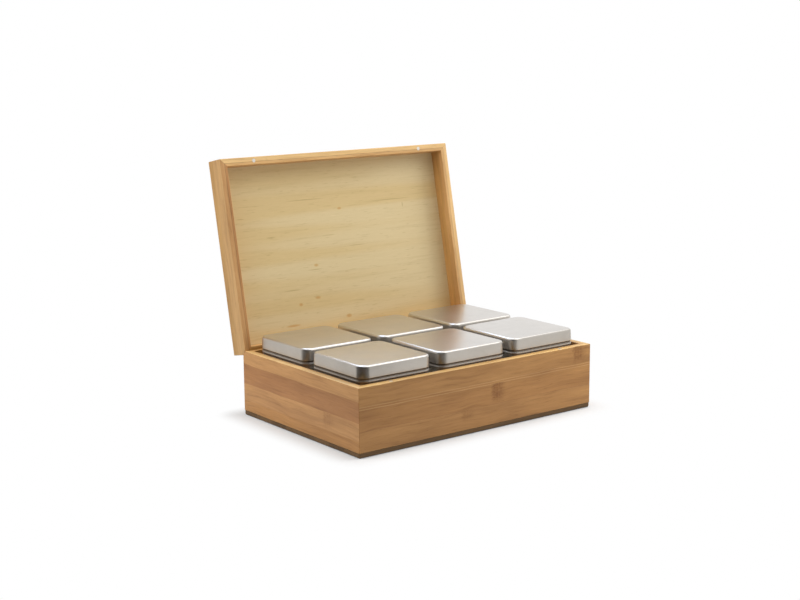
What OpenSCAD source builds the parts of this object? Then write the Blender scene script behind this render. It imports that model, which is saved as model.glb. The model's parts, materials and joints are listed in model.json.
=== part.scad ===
// Tea bag organizer box: a bamboo case with a hinged lid that stands open, divided into six cells,
// with a square slip-lid tin in each cell. Millimetres, Z up. The origin is the centre of the
// underside of the base. The front is at -Y and the hinges are at +Y.

/* [Case] */
// Length of the case, side to side
case_length = 295; // [250:1:340]
// Depth of the case, front to back
case_depth = 200; // [190:1:240]
// Height of the case with its base, up to the rim
case_height = 67; // [60:0.5:80]
// Thickness of the case walls and lid rails
wall_thick = 8; // [7:0.5:10]
// Radius of the upright corners of the case and the lid
corner_ease = 0.8; // [0.4:0.1:2]
// Thickness of the dark base board
base_thick = 5; // [3:0.5:8]
// Radius of the base board's corners in plan
base_corner_r = 2; // [1:0.5:10]
// Thickness of the floor panel
floor_thick = 4; // [3:0.5:6]
// Depth of the rabbets that hold the floor and the lid panel
rabbet_depth = 3; // [2:0.5:4]

/* [Lid] */
// Height of the lid, rim to top
lid_height = 23; // [21.5:0.5:35]
// Thickness of the lid panel
panel_thick = 5; // [3:0.5:5]
// Opening angle of the lid at its stop
lid_opening = 101.5; // [90:0.5:110]
// Gap between the rims when the lid is shut
seam_gap = 0.2; // [0.1:0.05:0.4]

/* [Dividers] */
// Thickness of the dividers
divider_thick = 2; // [1.5:0.5:4]
// Height of the dividers above the floor
divider_height = 46; // [30:1:48]
// Depth of the grooves in the walls that hold the dividers
dado_depth = 2; // [1:0.5:3]

/* [Hinges] */
// Radius of a hinge barrel
barrel_r = 2.5; // [2:0.1:2.8]
// Length of a hinge barrel in the wood
barrel_length = 11; // [8:0.5:14]
// Distance of each hinge from the end of the case
hinge_inset = 45; // [25:1:80]
// Radius of the hinge pin
pin_r = 0.6; // [0.5:0.05:0.8]
// Width of the tongue between the hinge cheeks
tongue_thick = 1.3; // [1:0.1:1.6]

/* [Magnets] */
// Radius of a catch magnet
magnet_r = 2; // [1.5:0.25:2.5]
// Thickness of a catch magnet
magnet_thick = 2; // [1.5:0.5:4]
// Distance of each magnet from the end of the case
magnet_inset = 40; // [20:1:90]

/* [Tins] */
// Least room between a tin and each side of its cell
tin_room = 3; // [1:0.25:6]
// Radius of the tin lid's corners in plan
tin_corner_r = 10; // [7:0.5:14]
// Height of a tin with its lid on
tin_height = 74; // [68:0.5:75]
// Height of the tin lid's skirt
tin_skirt = 12; // [8:0.5:16]
// Radius of the tin lid's top edge
tin_edge_r = 2.5; // [2.2:0.1:4]
// Thickness of the tinplate
sheet_thick = 0.6; // [0.4:0.1:0.8]
// Slip clearance between the tin lid and the neck, on each side
slip_gap = 0.3; // [0.2:0.05:0.4]
// Drop from the skirt to the middle of the bead
bead_drop = 2.6; // [1.5:0.1:5]
// Radius of the bead round the tin body
bead_r = 1; // [0.7:0.1:1.2]
// Radius of the tin body's bottom edge and of its turned-in mouth
tin_turn_r = 2; // [1.5:0.1:2.2]
// Width of the flat lip inside the turned-in mouth
tin_lip = 1; // [0.5:0.1:2]

/* [Clearances] */
// Play between the eye of a hinge and the wood around it
eye_gap = 0.1; // [0.05:0.05:0.2]
// Radial play of the hinge pin in the tongue
pin_gap = 0.03; // [0.01:0.01:0.08]
// Play beside the hinge tongue, on each side
tongue_gap = 0.1; // [0.05:0.05:0.15]

/* [Hidden] */
$fn = 64;
COLUMNS = ["left", "middle", "right"];
ROWS = ["front", "back"];

// Places in the case
half_length = case_length / 2;
half_depth = case_depth / 2;
inner_length = case_length - 2 * wall_thick;
inner_depth = case_depth - 2 * wall_thick;
floor_top = base_thick + floor_thick;

// The hinge axis runs along the middle of the back wall's thickness, halfway between the shut rims
axis_y = half_depth - wall_thick / 2;
axis_z = case_height + seam_gap / 2;
lid_rim = case_height + seam_gap;
lid_top = lid_rim + lid_height;
panel_underside = lid_top - panel_thick;

// Cells, in as many columns and rows as there are names for them
cell_length = (inner_length + divider_thick) / len(COLUMNS) - divider_thick;
cell_depth = (inner_depth + divider_thick) / len(ROWS) - divider_thick;
column_pitch = cell_length + divider_thick;
row_pitch = cell_depth + divider_thick;

// A tin fills the smaller side of its cell but for the room round it
tin_side = min(cell_length, cell_depth) - 2 * tin_room;
tin_straight = tin_side - 2 * tin_corner_r;

// Places on a tin, with heights counted from its underside
neck_r = tin_corner_r - sheet_thick - slip_gap;
neck_height = tin_height - sheet_thick;
skirt_foot = tin_height - tin_skirt;
bead_height = skirt_foot - bead_drop;

// Cutters reach this far past what they cut
reach = 1;

// Shared shapes

module rounded_rectangle(length, depth, corner_r) {
    square([length - 2 * corner_r, depth], center = true);
    square([length, depth - 2 * corner_r], center = true);
    for (x = [-1, 1], y = [-1, 1])
        translate([x * (length / 2 - corner_r), y * (depth / 2 - corner_r)]) circle(corner_r);
}

// One mitred wall of a four-sided frame, standing at the frame's front from the height low up to high
module mitred(length, depth, low, high) {
    translate([0, 0, low]) linear_extrude(high - low) intersection() {
        rounded_rectangle(length, depth, corner_ease);
        polygon([
            [-length / 2, -depth / 2], [length / 2, -depth / 2],
            [length / 2 - wall_thick, -depth / 2 + wall_thick],
            [-length / 2 + wall_thick, -depth / 2 + wall_thick]
        ]);
    }
}

// The space above the rim plane and above the bevel behind the hinge axis
module above_case_seam() {
    translate([0, axis_y, axis_z]) {
        translate([-case_length, -case_depth - reach, -seam_gap / 2])
            cube([2 * case_length, 2 * case_depth, lid_height + case_height]);
        rotate([-lid_opening / 2, 0, 0]) translate([-case_length, -case_height, -seam_gap / 2])
            cube([2 * case_length, 2 * case_height, case_height]);
    }
}

// The bevel behind the hinge axis alone, which lets the lid swing past upright and stop
module case_bevel() {
    translate([0, axis_y, axis_z]) rotate([-lid_opening / 2, 0, 0])
        translate([-case_length, -wall_thick / 2 - reach, -seam_gap / 2])
            cube([2 * case_length, 3 * wall_thick, 3 * wall_thick]);
}

// Mirrors a shape of the case about the plane of the hinge axis, which gives the lid's
module mirrored_to_lid() {
    translate([0, 0, axis_z]) mirror([0, 0, 1]) translate([0, 0, -axis_z]) children();
}

// Swings the shut lid to where it stands open
module opened() {
    translate([0, axis_y, axis_z]) rotate([-lid_opening, 0, 0]) translate([0, -axis_y, -axis_z]) children();
}

// Sweeps a profile round a square with round corners. The profile's x is counted from the corner's centre.
module swept_round_square() {
    for (turn = [0:3]) rotate([0, 0, 90 * turn]) translate([tin_straight / 2, tin_straight / 2, 0]) {
        rotate_extrude(angle = 90) children();
        rotate([90, 0, 0]) linear_extrude(tin_straight) children();
    }
}

// A strip of sheet turned through a quarter circle, outside radius r, in the quadrant above and right
module turned_strip(r) {
    intersection() {
        difference() {
            circle(r);
            circle(r - sheet_thick);
        }
        square(r + reach);
    }
}

// A divider along X with its ends in their grooves, or the part of it that stands above from_floor
module divider_slab(length, from_floor = 0) {
    translate([-length / 2, -divider_thick / 2, floor_top + from_floor])
        cube([length, divider_thick, divider_height - from_floor]);
}

module long_divider_slab() {
    divider_slab(inner_length + 2 * dado_depth);
}

// Turns a slab to run front to back, at the left cross divider for -1 and at the right one for 1
module at_cross_divider(side) {
    translate([side * column_pitch / 2, 0, 0]) rotate([0, 0, 90]) children();
}

module cross_divider_slab(side) {
    at_cross_divider(side) divider_slab(inner_depth + 2 * dado_depth);
}

// The space for the floor panel, rabbeted into all four walls
module floor_space() {
    translate([-inner_length / 2 - rabbet_depth, -inner_depth / 2 - rabbet_depth, base_thick])
        cube([inner_length + 2 * rabbet_depth, inner_depth + 2 * rabbet_depth, floor_thick]);
}

// The space for the lid panel, rabbeted into all four rails
module panel_space() {
    translate([-inner_length / 2 - rabbet_depth, -inner_depth / 2 - rabbet_depth, panel_underside])
        cube([inner_length + 2 * rabbet_depth, inner_depth + 2 * rabbet_depth, panel_thick]);
}

// Puts a shape on the axis of one hinge: side is -1 on the left and 1 on the right
module at_hinge(side) {
    translate([side * (half_length - hinge_inset), axis_y, axis_z]) children();
}

module barrel_bores() {
    for (side = [-1, 1]) at_hinge(side) translate([0, 0, -barrel_length])
        cylinder(h = barrel_length + reach, r = barrel_r);
}

// Puts a shape in the middle of the front wall's thickness, where a magnet sits
module at_magnet(side) {
    translate([side * (half_length - magnet_inset), -half_depth + wall_thick / 2, 0]) children();
}

// Case

module base_plate() {
    color([0.24, 0.17, 0.12])
        linear_extrude(base_thick) rounded_rectangle(case_length, case_depth, base_corner_r);
}

module floor_panel() {
    color([0.78, 0.62, 0.42]) floor_space();
}

module case_front_wall() {
    color([0.72, 0.52, 0.34]) difference() {
        mitred(case_length, case_depth, base_thick, case_height);
        floor_space();
        for (side = [-1, 1]) cross_divider_slab(side);
        for (side = [-1, 1]) at_magnet(side) translate([0, 0, case_height - magnet_thick])
            cylinder(h = magnet_thick + reach, r = magnet_r);
    }
}

module case_back_wall() {
    color([0.72, 0.52, 0.34]) difference() {
        rotate([0, 0, 180]) mitred(case_length, case_depth, base_thick, case_height);
        floor_space();
        for (side = [-1, 1]) cross_divider_slab(side);
        case_bevel();
        barrel_bores();
    }
}

module case_side_wall(side) {
    color([0.74, 0.54, 0.36]) difference() {
        rotate([0, 0, side * 90]) mitred(case_depth, case_length, base_thick, case_height);
        floor_space();
        long_divider_slab();
        case_bevel();
    }
}

module case_left_wall() {
    case_side_wall(-1);
}

module case_right_wall() {
    case_side_wall(1);
}

// Dividers: the cross dividers are notched from below and drop over the long one, notched from above

module long_divider() {
    color([0.76, 0.60, 0.40]) difference() {
        long_divider_slab();
        for (side = [-1, 1])
            at_cross_divider(side) divider_slab(inner_depth, divider_height / 2);
    }
}

module cross_divider(side) {
    color([0.76, 0.60, 0.40]) difference() {
        cross_divider_slab(side);
        translate([-half_length, -divider_thick / 2, floor_top])
            cube([case_length, divider_thick, divider_height / 2]);
    }
}

module cross_divider_left() {
    cross_divider(-1);
}

module cross_divider_right() {
    cross_divider(1);
}

// Lid

module lid_front_rail() {
    color([0.80, 0.60, 0.40]) opened() difference() {
        mitred(case_length, case_depth, lid_rim, lid_top);
        panel_space();
        for (side = [-1, 1]) at_magnet(side) translate([0, 0, lid_rim - reach])
            cylinder(h = magnet_thick + reach, r = magnet_r);
    }
}

module lid_back_rail() {
    color([0.80, 0.60, 0.40]) opened() difference() {
        rotate([0, 0, 180]) mitred(case_length, case_depth, lid_rim, lid_top);
        panel_space();
        mirrored_to_lid() {
            case_bevel();
            barrel_bores();
        }
    }
}

module lid_side_rail(side) {
    color([0.80, 0.60, 0.40]) opened() difference() {
        rotate([0, 0, side * 90]) mitred(case_depth, case_length, lid_rim, lid_top);
        panel_space();
        mirrored_to_lid() case_bevel();
    }
}

module lid_left_rail() {
    lid_side_rail(-1);
}

module lid_right_rail() {
    lid_side_rail(1);
}

module lid_panel() {
    color([0.84, 0.74, 0.55]) opened() panel_space();
}

// Hinges: a barrel in the case with two cheeks, a barrel in the lid with a tongue, and a pin through both

module eye() {
    sphere(barrel_r - eye_gap);
}

// The barrel in its bore, cut flush with the rim and the bevel
module plain_barrel(side) {
    difference() {
        at_hinge(side) translate([0, 0, -barrel_length]) cylinder(h = barrel_length, r = barrel_r);
        above_case_seam();
    }
}

module hinge_case_barrel(side) {
    slot = tongue_thick + 2 * tongue_gap;
    color([0.80, 0.66, 0.38]) difference() {
        union() {
            plain_barrel(side);
            at_hinge(side) eye();
        }
        at_hinge(side) translate([-slot / 2, -barrel_r - reach, -barrel_r - eye_gap])
            cube([slot, 2 * (barrel_r + reach), 2 * barrel_r + reach]);
        at_hinge(side) rotate([0, 90, 0])
            cylinder(h = 2 * barrel_r + reach, r = pin_r, center = true);
    }
}

module hinge_lid_barrel(side) {
    cheek_room = barrel_r + eye_gap;
    color([0.80, 0.66, 0.38]) opened() difference() {
        union() {
            difference() {
                mirrored_to_lid() plain_barrel(side);
                for (cheek = [-1, 1]) at_hinge(side)
                    translate([cheek * (tongue_thick + barrel_r) / 2, 0, 0])
                        cube([barrel_r, 2 * (barrel_r + reach), 2 * cheek_room], center = true);
            }
            at_hinge(side) intersection() {
                eye();
                cube([tongue_thick, 2 * barrel_r, 2 * barrel_r], center = true);
            }
        }
        at_hinge(side) rotate([0, 90, 0])
            cylinder(h = 2 * barrel_r + reach, r = pin_r + pin_gap, center = true);
    }
}

module hinge_pin(side) {
    eye_r = barrel_r - eye_gap;
    pin_length = 2 * sqrt(eye_r * eye_r - pin_r * pin_r);
    color([0.70, 0.70, 0.72]) at_hinge(side) rotate([0, 90, 0])
        cylinder(h = pin_length, r = pin_r, center = true);
}

// Magnets

module case_magnet(side) {
    color([0.85, 0.85, 0.87]) at_magnet(side) translate([0, 0, case_height - magnet_thick])
        cylinder(h = magnet_thick, r = magnet_r);
}

module lid_magnet(side) {
    color([0.85, 0.85, 0.87]) opened() at_magnet(side) translate([0, 0, lid_rim])
        cylinder(h = magnet_thick, r = magnet_r);
}

// Tins

// Puts a tin in its cell: column is -1, 0 or 1 from the left, row is -1 at the front and 1 at the back
module in_cell(column, row) {
    translate([column * column_pitch, row * row_pitch / 2, floor_top]) children();
}

// The tin body in section, out from a corner's centre: bottom, turned edge, wall, mouth and bead
module tin_body_section() {
    square([neck_r - tin_turn_r, sheet_thick]);
    translate([neck_r - tin_turn_r, tin_turn_r]) mirror([0, 1]) turned_strip(tin_turn_r);
    translate([neck_r - sheet_thick, tin_turn_r]) square([sheet_thick, neck_height - 2 * tin_turn_r]);
    translate([neck_r - tin_turn_r, neck_height - tin_turn_r]) turned_strip(tin_turn_r);
    translate([neck_r - tin_turn_r - tin_lip, neck_height - sheet_thick]) square([tin_lip, sheet_thick]);
    intersection() {
        translate([tin_corner_r - bead_r, bead_height]) circle(bead_r);
        translate([neck_r - sheet_thick, 0]) square([tin_corner_r, tin_height]);
    }
}

module tin_body(column, row) {
    color([0.72, 0.71, 0.69]) in_cell(column, row) {
        swept_round_square() tin_body_section();
        translate([-tin_straight / 2, -tin_straight / 2, 0])
            cube([tin_straight, tin_straight, sheet_thick]);
    }
}

// The tin lid in section, out from a corner's centre: skirt, round top edge and top
module tin_lid_section() {
    translate([tin_corner_r - sheet_thick, 0]) square([sheet_thick, tin_skirt - tin_edge_r]);
    translate([tin_corner_r - tin_edge_r, tin_skirt - tin_edge_r]) turned_strip(tin_edge_r);
    translate([0, tin_skirt - sheet_thick]) square([tin_corner_r - tin_edge_r, sheet_thick]);
}

module tin_lid(column, row) {
    color([0.76, 0.75, 0.73]) in_cell(column, row) {
        translate([0, 0, skirt_foot]) swept_round_square() tin_lid_section();
        translate([-tin_straight / 2, -tin_straight / 2, tin_height - sheet_thick])
            cube([tin_straight, tin_straight, sheet_thick]);
    }
}

base_plate();
floor_panel();
case_front_wall();
case_back_wall();
case_left_wall();
case_right_wall();
long_divider();
cross_divider_left();
cross_divider_right();
lid_front_rail();
lid_back_rail();
lid_left_rail();
lid_right_rail();
lid_panel();
hinge_case_barrel(-1);  // hinge_case_barrel_left
hinge_lid_barrel(-1);  // hinge_lid_barrel_left
hinge_pin(-1);  // hinge_pin_left
hinge_case_barrel(1);  // hinge_case_barrel_right
hinge_lid_barrel(1);  // hinge_lid_barrel_right
hinge_pin(1);  // hinge_pin_right
case_magnet(-1);  // case_magnet_left
case_magnet(1);  // case_magnet_right
lid_magnet(-1);  // lid_magnet_left
lid_magnet(1);  // lid_magnet_right
for (row = [0:1], column = [0:2]) {
    place = str(ROWS[row], "_", COLUMNS[column]);
    tin_body(column - 1, 2 * row - 1);
    tin_lid(column - 1, 2 * row - 1);
}
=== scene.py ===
# %% [markdown]
# # A bamboo tea box with six tins
#
# The real box is glued up from laminated bamboo: four case walls and four lid rails, mitred at the
# corners, with a pale veneer panel in the lid, a floor, thin dividers and a dark base board. Six square
# slip-lid tins of satin tinplate stand in the cells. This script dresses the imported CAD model.

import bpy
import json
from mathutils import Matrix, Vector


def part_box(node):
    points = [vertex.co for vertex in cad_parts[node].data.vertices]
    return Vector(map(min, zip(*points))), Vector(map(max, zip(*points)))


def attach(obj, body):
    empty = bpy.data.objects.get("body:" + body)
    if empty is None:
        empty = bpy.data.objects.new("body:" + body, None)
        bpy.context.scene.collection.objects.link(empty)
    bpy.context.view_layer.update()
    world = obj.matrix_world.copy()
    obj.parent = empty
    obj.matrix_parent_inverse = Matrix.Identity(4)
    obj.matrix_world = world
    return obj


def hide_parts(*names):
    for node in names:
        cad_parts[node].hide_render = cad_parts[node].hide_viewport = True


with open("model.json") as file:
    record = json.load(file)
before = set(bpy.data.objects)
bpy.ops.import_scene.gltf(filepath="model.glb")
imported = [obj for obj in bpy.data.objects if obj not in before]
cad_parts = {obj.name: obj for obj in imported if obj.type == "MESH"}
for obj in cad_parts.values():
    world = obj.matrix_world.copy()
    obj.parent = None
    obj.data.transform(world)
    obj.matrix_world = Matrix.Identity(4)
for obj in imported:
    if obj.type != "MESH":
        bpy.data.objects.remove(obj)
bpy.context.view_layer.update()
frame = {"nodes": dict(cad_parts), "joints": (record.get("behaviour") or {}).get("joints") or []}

# %% What else the script uses
import json
import math

import bmesh
import bpy
from mathutils import Matrix, Vector

MM = 0.001

# %% [markdown]
# ## Camera
#
# The photograph was taken with a fairly long lens from the front left and a little above. The place and
# the angles were found beforehand, by fitting the projected corners of the box to their places in the
# picture. The camera comes first, so that everything after it is seen from the right side at once.

# %% Camera
CAMERA_PLACE = (-0.89625, -1.13861, 0.39331)
CAMERA_AZIMUTH = math.radians(-37.4957)
CAMERA_ELEVATION = math.radians(10.8238)
CAMERA_ROLL = math.radians(-0.3922)
CAMERA_LENS = 65.30
CAMERA_NEAR = 0.01

camera = bpy.data.objects.new("photo_camera", bpy.data.cameras.new("photo_camera"))
bpy.context.scene.collection.objects.link(camera)
camera.data.lens = CAMERA_LENS
camera.data.clip_start = CAMERA_NEAR
camera.matrix_world = (
    Matrix.Translation(CAMERA_PLACE)
    @ Matrix.Rotation(CAMERA_AZIMUTH, 4, "Z")
    @ Matrix.Rotation(math.radians(90) - CAMERA_ELEVATION, 4, "X")
    @ Matrix.Rotation(CAMERA_ROLL, 4, "Z")
)
bpy.context.scene.camera = camera
bpy.context.scene.view_settings.view_transform = "Standard"
print("camera at", CAMERA_PLACE, "with a lens of", CAMERA_LENS, "mm")

# %% [markdown]
# ## Places that come from the CAD
#
# Sizes are read from the frame and not typed again, so that the dressing follows the part when its
# values change. The lid stands open in the frame. Its boards are easiest to think about with the lid
# shut, so one matrix shuts it in thought.

# %% Sizes from the frame
base_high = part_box("base_plate")[1]
front_low, front_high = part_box("case_front_wall")
HALF_LENGTH = base_high.x
HALF_DEPTH = base_high.y
RIM = front_high.z
WALL = front_high.y - front_low.y
GROOVE_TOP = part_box("long_divider")[1].z

lid_hinge = next(joint for joint in frame["joints"] if joint["name"] == "lid_hinge")
HINGE_PLACE = Vector(lid_hinge["pos_m"])
LID_OPENING = math.radians(-lid_hinge["range_deg"][0])
close_lid = (
    Matrix.Translation(HINGE_PLACE)
    @ Matrix.Rotation(LID_OPENING, 4, "X")
    @ Matrix.Translation(-HINGE_PLACE)
)

# With the lid shut, its rim is as far above the hinges' axis as the rim of the case is below it
LID_RIM = 2 * HINGE_PLACE.z - RIM
PANEL_TOP = max((close_lid @ end.co).z for end in frame["nodes"]["lid_panel"].data.vertices)
print("walls", round(WALL / MM, 2), "mm thick")
print("lid opened by", round(math.degrees(LID_OPENING), 1), "degrees")

# %% [markdown]
# ## Helpers for finishes
#
# Every finish here is made of nodes, so it has no picture files and looks the same at any size. A few
# small helpers keep the node code readable: they feed a socket, add a node, do a sum, map one range to
# another, and lay a tint over a colour wherever a mask says so.

# %% Nodes
def feed(tree, socket, value):
    """Links a socket to another node's output, or gives it a plain value."""
    if isinstance(value, bpy.types.NodeSocket):
        tree.links.new(value, socket)
    else:
        socket.default_value = value


def add_node(tree, kind, inputs, **settings):
    """Adds a node with these settings, feeds its inputs and returns its outputs."""
    made = tree.nodes.new("ShaderNode" + kind)
    for name, value in settings.items():
        setattr(made, name, value)
    for socket, value in inputs.items():
        feed(tree, made.inputs[socket], value)
    return made.outputs


# %% Sums
def calc(tree, operation, first, second=0.0):
    """One sum of two values."""
    return add_node(tree, "Math", {0: first, 1: second}, operation=operation)[0]


def combined(tree, operation, values):
    """Several values taken together by one operation, such as MULTIPLY or MAXIMUM."""
    result = values[0]
    for value in values[1:]:
        result = calc(tree, operation, result, value)
    return result


def apart(tree, first, second):
    """How far two values are apart."""
    return calc(tree, "ABSOLUTE", calc(tree, "SUBTRACT", first, second))


def spread(tree, value, low, high, to_low=0.0, to_high=1.0):
    """Maps low..high to to_low..to_high with soft ends, and stays inside them."""
    inputs = {"Value": value, "From Min": low, "From Max": high, "To Min": to_low, "To Max": to_high}
    return add_node(tree, "MapRange", inputs, interpolation_type="SMOOTHSTEP")[0]


# %% Tints
# A Mix node has sockets of several kinds under the same names, so its colours go by number
MIX_FIRST = 6
MIX_SECOND = 7
MIX_RESULT = 2


def opaque(colour):
    """Makes an opaque colour of three shares. Another node's output stays as it is."""
    return colour if isinstance(colour, bpy.types.NodeSocket) else (*colour, 1.0)


def tinted(tree, colour, mask, tint):
    """Multiplies a colour by a tint where the mask is 1."""
    inputs = {"Factor": mask, MIX_FIRST: opaque(colour), MIX_SECOND: opaque(tint)}
    return add_node(tree, "Mix", inputs, data_type="RGBA", blend_type="MULTIPLY")[MIX_RESULT]


# %% Streaks, the grain of everything here
STREAK_ROUGHNESS = 0.6


def streaks(tree, place, length, width, detail, shift):
    """Noise drawn out along the first coordinate. Place and sizes are in millimetres."""
    inputs = {
        "Vector": place,
        "Location": (shift, shift, shift),
        "Scale": (1 / length, 1 / width, 1 / width),
    }
    stretched = add_node(tree, "Mapping", inputs)[0]
    noise = {"Vector": stretched, "Scale": 1.0, "Detail": detail, "Roughness": STREAK_ROUGHNESS}
    return add_node(tree, "TexNoise", noise)[0]


def grain_of(tree, place, kinds, shift=0.0):
    """All the streaks of a finish. Each kind has a length and a width in millimetres, the detail of its
    noise, and a shift that keeps it apart from the other kinds."""
    return {
        kind: streaks(tree, place, length, width, detail, shift + own_shift)
        for kind, (length, width, detail, own_shift) in kinds.items()
    }


def marked(tree, colour, grain, marks):
    """Lays marks over a colour. Each follows one kind of streaks, starts at one value of the noise, is
    full at another, and has a strength and a tint."""
    for kind, start, full, strength, tint in marks:
        colour = tinted(tree, colour, spread(tree, grain[kind], start, full, 0.0, strength), tint)
    return colour


# %% A new finish
def new_finish(name, plain_values):
    """An empty material with one shader. Its plain values are set on the shader itself."""
    finish = bpy.data.materials.new(name)
    finish.use_nodes = True
    tree = finish.node_tree
    shader = next(node for node in tree.nodes if node.type == "BSDF_PRINCIPLED")
    for socket, value in plain_values.items():
        shader.inputs[socket].default_value = value
    return finish, tree, shader


def relief(tree, shader, height, depth):
    """Gives the shader a fine relief, depth metres deep."""
    bump = add_node(tree, "Bump", {"Height": height, "Strength": 1.0, "Distance": depth})[0]
    feed(tree, shader.inputs["Normal"], bump)


# %% [markdown]
# ## Coordinates on a board
#
# The grain of a board follows the board, whichever way it stands. So each board gets its own measure, in
# millimetres: along its length, up across its strips, and in from its outer face. Two Mapping nodes do
# this. The first closes the lid, for boards of the lid. The second turns the board's outer face to the
# front.

# %% Board coordinates
# For each side of the box: signs that mirror x, y and z, the turn that follows, and the half size that
# is then the outer face
SIDES = {
    "front": ((1, 1, -1), (90, 0, 0), HALF_DEPTH),
    "back": ((-1, -1, -1), (90, 0, 0), HALF_DEPTH),
    "left": ((-1, -1, -1), (90, 90, 0), HALF_LENGTH),
    "right": ((1, 1, -1), (90, 90, 0), HALF_LENGTH),
}


def object_place(tree, in_lid=False):
    """A point of a piece, in metres. For a piece of the lid, the lid is shut first."""
    place = add_node(tree, "TexCoord", {})["Object"]
    if not in_lid:
        return place
    turn = {"Vector": place, "Location": close_lid.to_translation(), "Rotation": (LID_OPENING, 0, 0)}
    return add_node(tree, "Mapping", turn)[0]


def in_millimetres(tree, place, turn=0.0):
    """The same point in millimetres, turned about Z."""
    inputs = {"Vector": place, "Rotation": (0, 0, turn), "Scale": (1 / MM, 1 / MM, 1 / MM)}
    return add_node(tree, "Mapping", inputs)[0]


def board_coordinates(tree, side, in_lid):
    """Along, up and inward on a board, in millimetres."""
    signs, turns, outer_face = SIDES[side]
    inputs = {
        "Vector": object_place(tree, in_lid),
        "Location": (0, 0, outer_face / MM),
        "Rotation": [math.radians(turn) for turn in turns],
        "Scale": [sign / MM for sign in signs],
    }
    return add_node(tree, "Mapping", inputs)[0]


# %% [markdown]
# ## Bamboo
#
# A bamboo board is made of long strips glued side by side. Each strip has its own tone, and the whole
# board is painted lighter towards one end and darker towards the other, a painted falloff of light
# along it. Along it run fibres, some fine and some broad and slow. Every so often there is a knuckle,
# where the cane had a joint: a soft dark band with two columns of small pale ticks. The tones below are
# those of steamed bamboo under a satin lacquer.

# %% Tones of bamboo
HONEY = (0.470, 0.237, 0.079)
GOLDEN = (0.442, 0.216, 0.062)
AMBER = (0.420, 0.198, 0.054)
RUSSET = (0.372, 0.165, 0.050)
PALE = (0.520, 0.285, 0.102)
GLUE = (0.345, 0.156, 0.047)

# What a mark does to the colour under it
DARK_FIBRE = (0.62, 0.54, 0.46)
LIGHT_FIBRE = (1.16, 1.20, 1.26)
KNUCKLE = (0.57, 0.45, 0.29)
TICK = (1.30, 1.40, 1.50)
SEAM = (0.45, 0.36, 0.30)
INNER_PLY = (0.87, 0.79, 0.72)
PAINTED_INNER_LIGHT = (1.28, 1.28, 1.32)
WORN_AND_LIT_EDGE = (1.10, 1.14, 1.20)
# Painted light on the rims: lighter and less saturated, as light from above and sheen make them
PAINTED_RIM_LIGHT = (1.56, 2.00, 2.50)
LIGHT_STOCK = (1.12, 1.28, 1.45)

# The streaks of bamboo, with what grain_of asks for, and the marks they leave, with what marked asks for
BAMBOO_STREAKS = {
    "slow": (90.0, 14.0, 1.0, 37),
    "broad": (55.0, 3.0, 3.0, 0),
    "fibres": (16.0, 0.5, 2.0, 11),
    "bundles": (10.0, 0.9, 1.0, 23),
}
BAMBOO_MARKS = [
    ("slow", 0.52, 0.30, 0.35, DARK_FIBRE),
    ("slow", 0.52, 0.72, 0.60, LIGHT_FIBRE),
    ("broad", 0.50, 0.26, 0.55, DARK_FIBRE),
    ("broad", 0.50, 0.74, 0.80, LIGHT_FIBRE),
    ("fibres", 0.55, 0.30, 0.22, DARK_FIBRE),
    ("bundles", 0.64, 0.76, 0.50, DARK_FIBRE),
]

# %% Knuckles
NOISE_MIDDLE = 0.5
KNUCKLE_STREAKS = {"wavy": (6.0, 2.4, 2.0, 0), "fine": (3.0, 1.0, 2.0, 0)}

# A knuckle's band starts and is full at these distances from its middle, on one side and on the other.
# Its edge is ragged by up to half of the next value. Above the strip's lower edge it comes in over the
# height after that. All are in millimetres.
BAND_NEAR = (-9.0, -3.5)
BAND_FAR = (13.0, 0.0)
BAND_RAGGED = 10.0
BAND_RISE = 9.0

# The columns of ticks: how far from the middle, and how wide to each side, where they end and are full
TICK_OFFSET = 1.6
TICK_HALF = (1.0, 0.3)

# How the fine streaks break up the band and the ticks
BAND_BREAKS = (0.35, 0.62, 0.45, 1.0)
TICK_BREAKS = (0.46, 0.58)


def knuckle_masks(tree, board, along, up, place, low, high, strength):
    """The cloudy band and the two columns of ticks of one knuckle, on the strip between two heights."""
    grain = grain_of(tree, board, KNUCKLE_STREAKS, place)
    from_place = calc(tree, "SUBTRACT", along, place)
    ragged = calc(tree, "MULTIPLY", calc(tree, "SUBTRACT", grain["wavy"], NOISE_MIDDLE), BAND_RAGGED)
    offset = calc(tree, "ADD", from_place, ragged)
    above = spread(tree, up, low, low + BAND_RISE)
    here = combined(tree, "MULTIPLY", [above, calc(tree, "LESS_THAN", up, high), strength])
    band_breaks = spread(tree, grain["fine"], *BAND_BREAKS)
    band = [spread(tree, offset, *BAND_NEAR), spread(tree, offset, *BAND_FAR), band_breaks, here]
    from_ticks = apart(tree, calc(tree, "ABSOLUTE", from_place), TICK_OFFSET)
    ticks = [spread(tree, from_ticks, *TICK_HALF), spread(tree, grain["fine"], *TICK_BREAKS), here]
    return combined(tree, "MULTIPLY", band), combined(tree, "MULTIPLY", ticks)


# %% Strips
# The strips of walls and rails start below this height, in millimetres
HIGHEST_STRIP = 100.0


def strip_ramp(tree, up, strips, ramp_span=HIGHEST_STRIP):
    """Gives each strip its tone. A strip is a height in millimetres at which it starts, and a tone."""
    ramp = tree.nodes.new("ShaderNodeValToRGB")
    ramp.color_ramp.interpolation = "CONSTANT"
    for number, (height, tone) in enumerate(strips):
        stops = ramp.color_ramp.elements
        stop = stops[number] if number < len(stops) else stops.new(1.0)
        stop.position = height / ramp_span
        stop.color = (*tone, 1.0)
    feed(tree, ramp.inputs["Fac"], calc(tree, "DIVIDE", up, ramp_span))
    return ramp.outputs["Color"]


# %% Plies, joints and worn edges
# Depths and half widths in millimetres. A line has its half width where it ends and where it is full.
EDGE_MARK = "eased_edge"
RIM_BAND = 0.2
FACE_BAND = 0.3
PLY_DEPTH = 5.0
PLY_LINE = (0.45, 0.10)
PLY_LINE_STRENGTH = 0.6
MITRE_LINE = (0.40, 0.05)
MITRE_LINE_STRENGTH = 0.35
WORN_AND_LIT_WHERE_BROAD = (0.3, 0.7)


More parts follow.
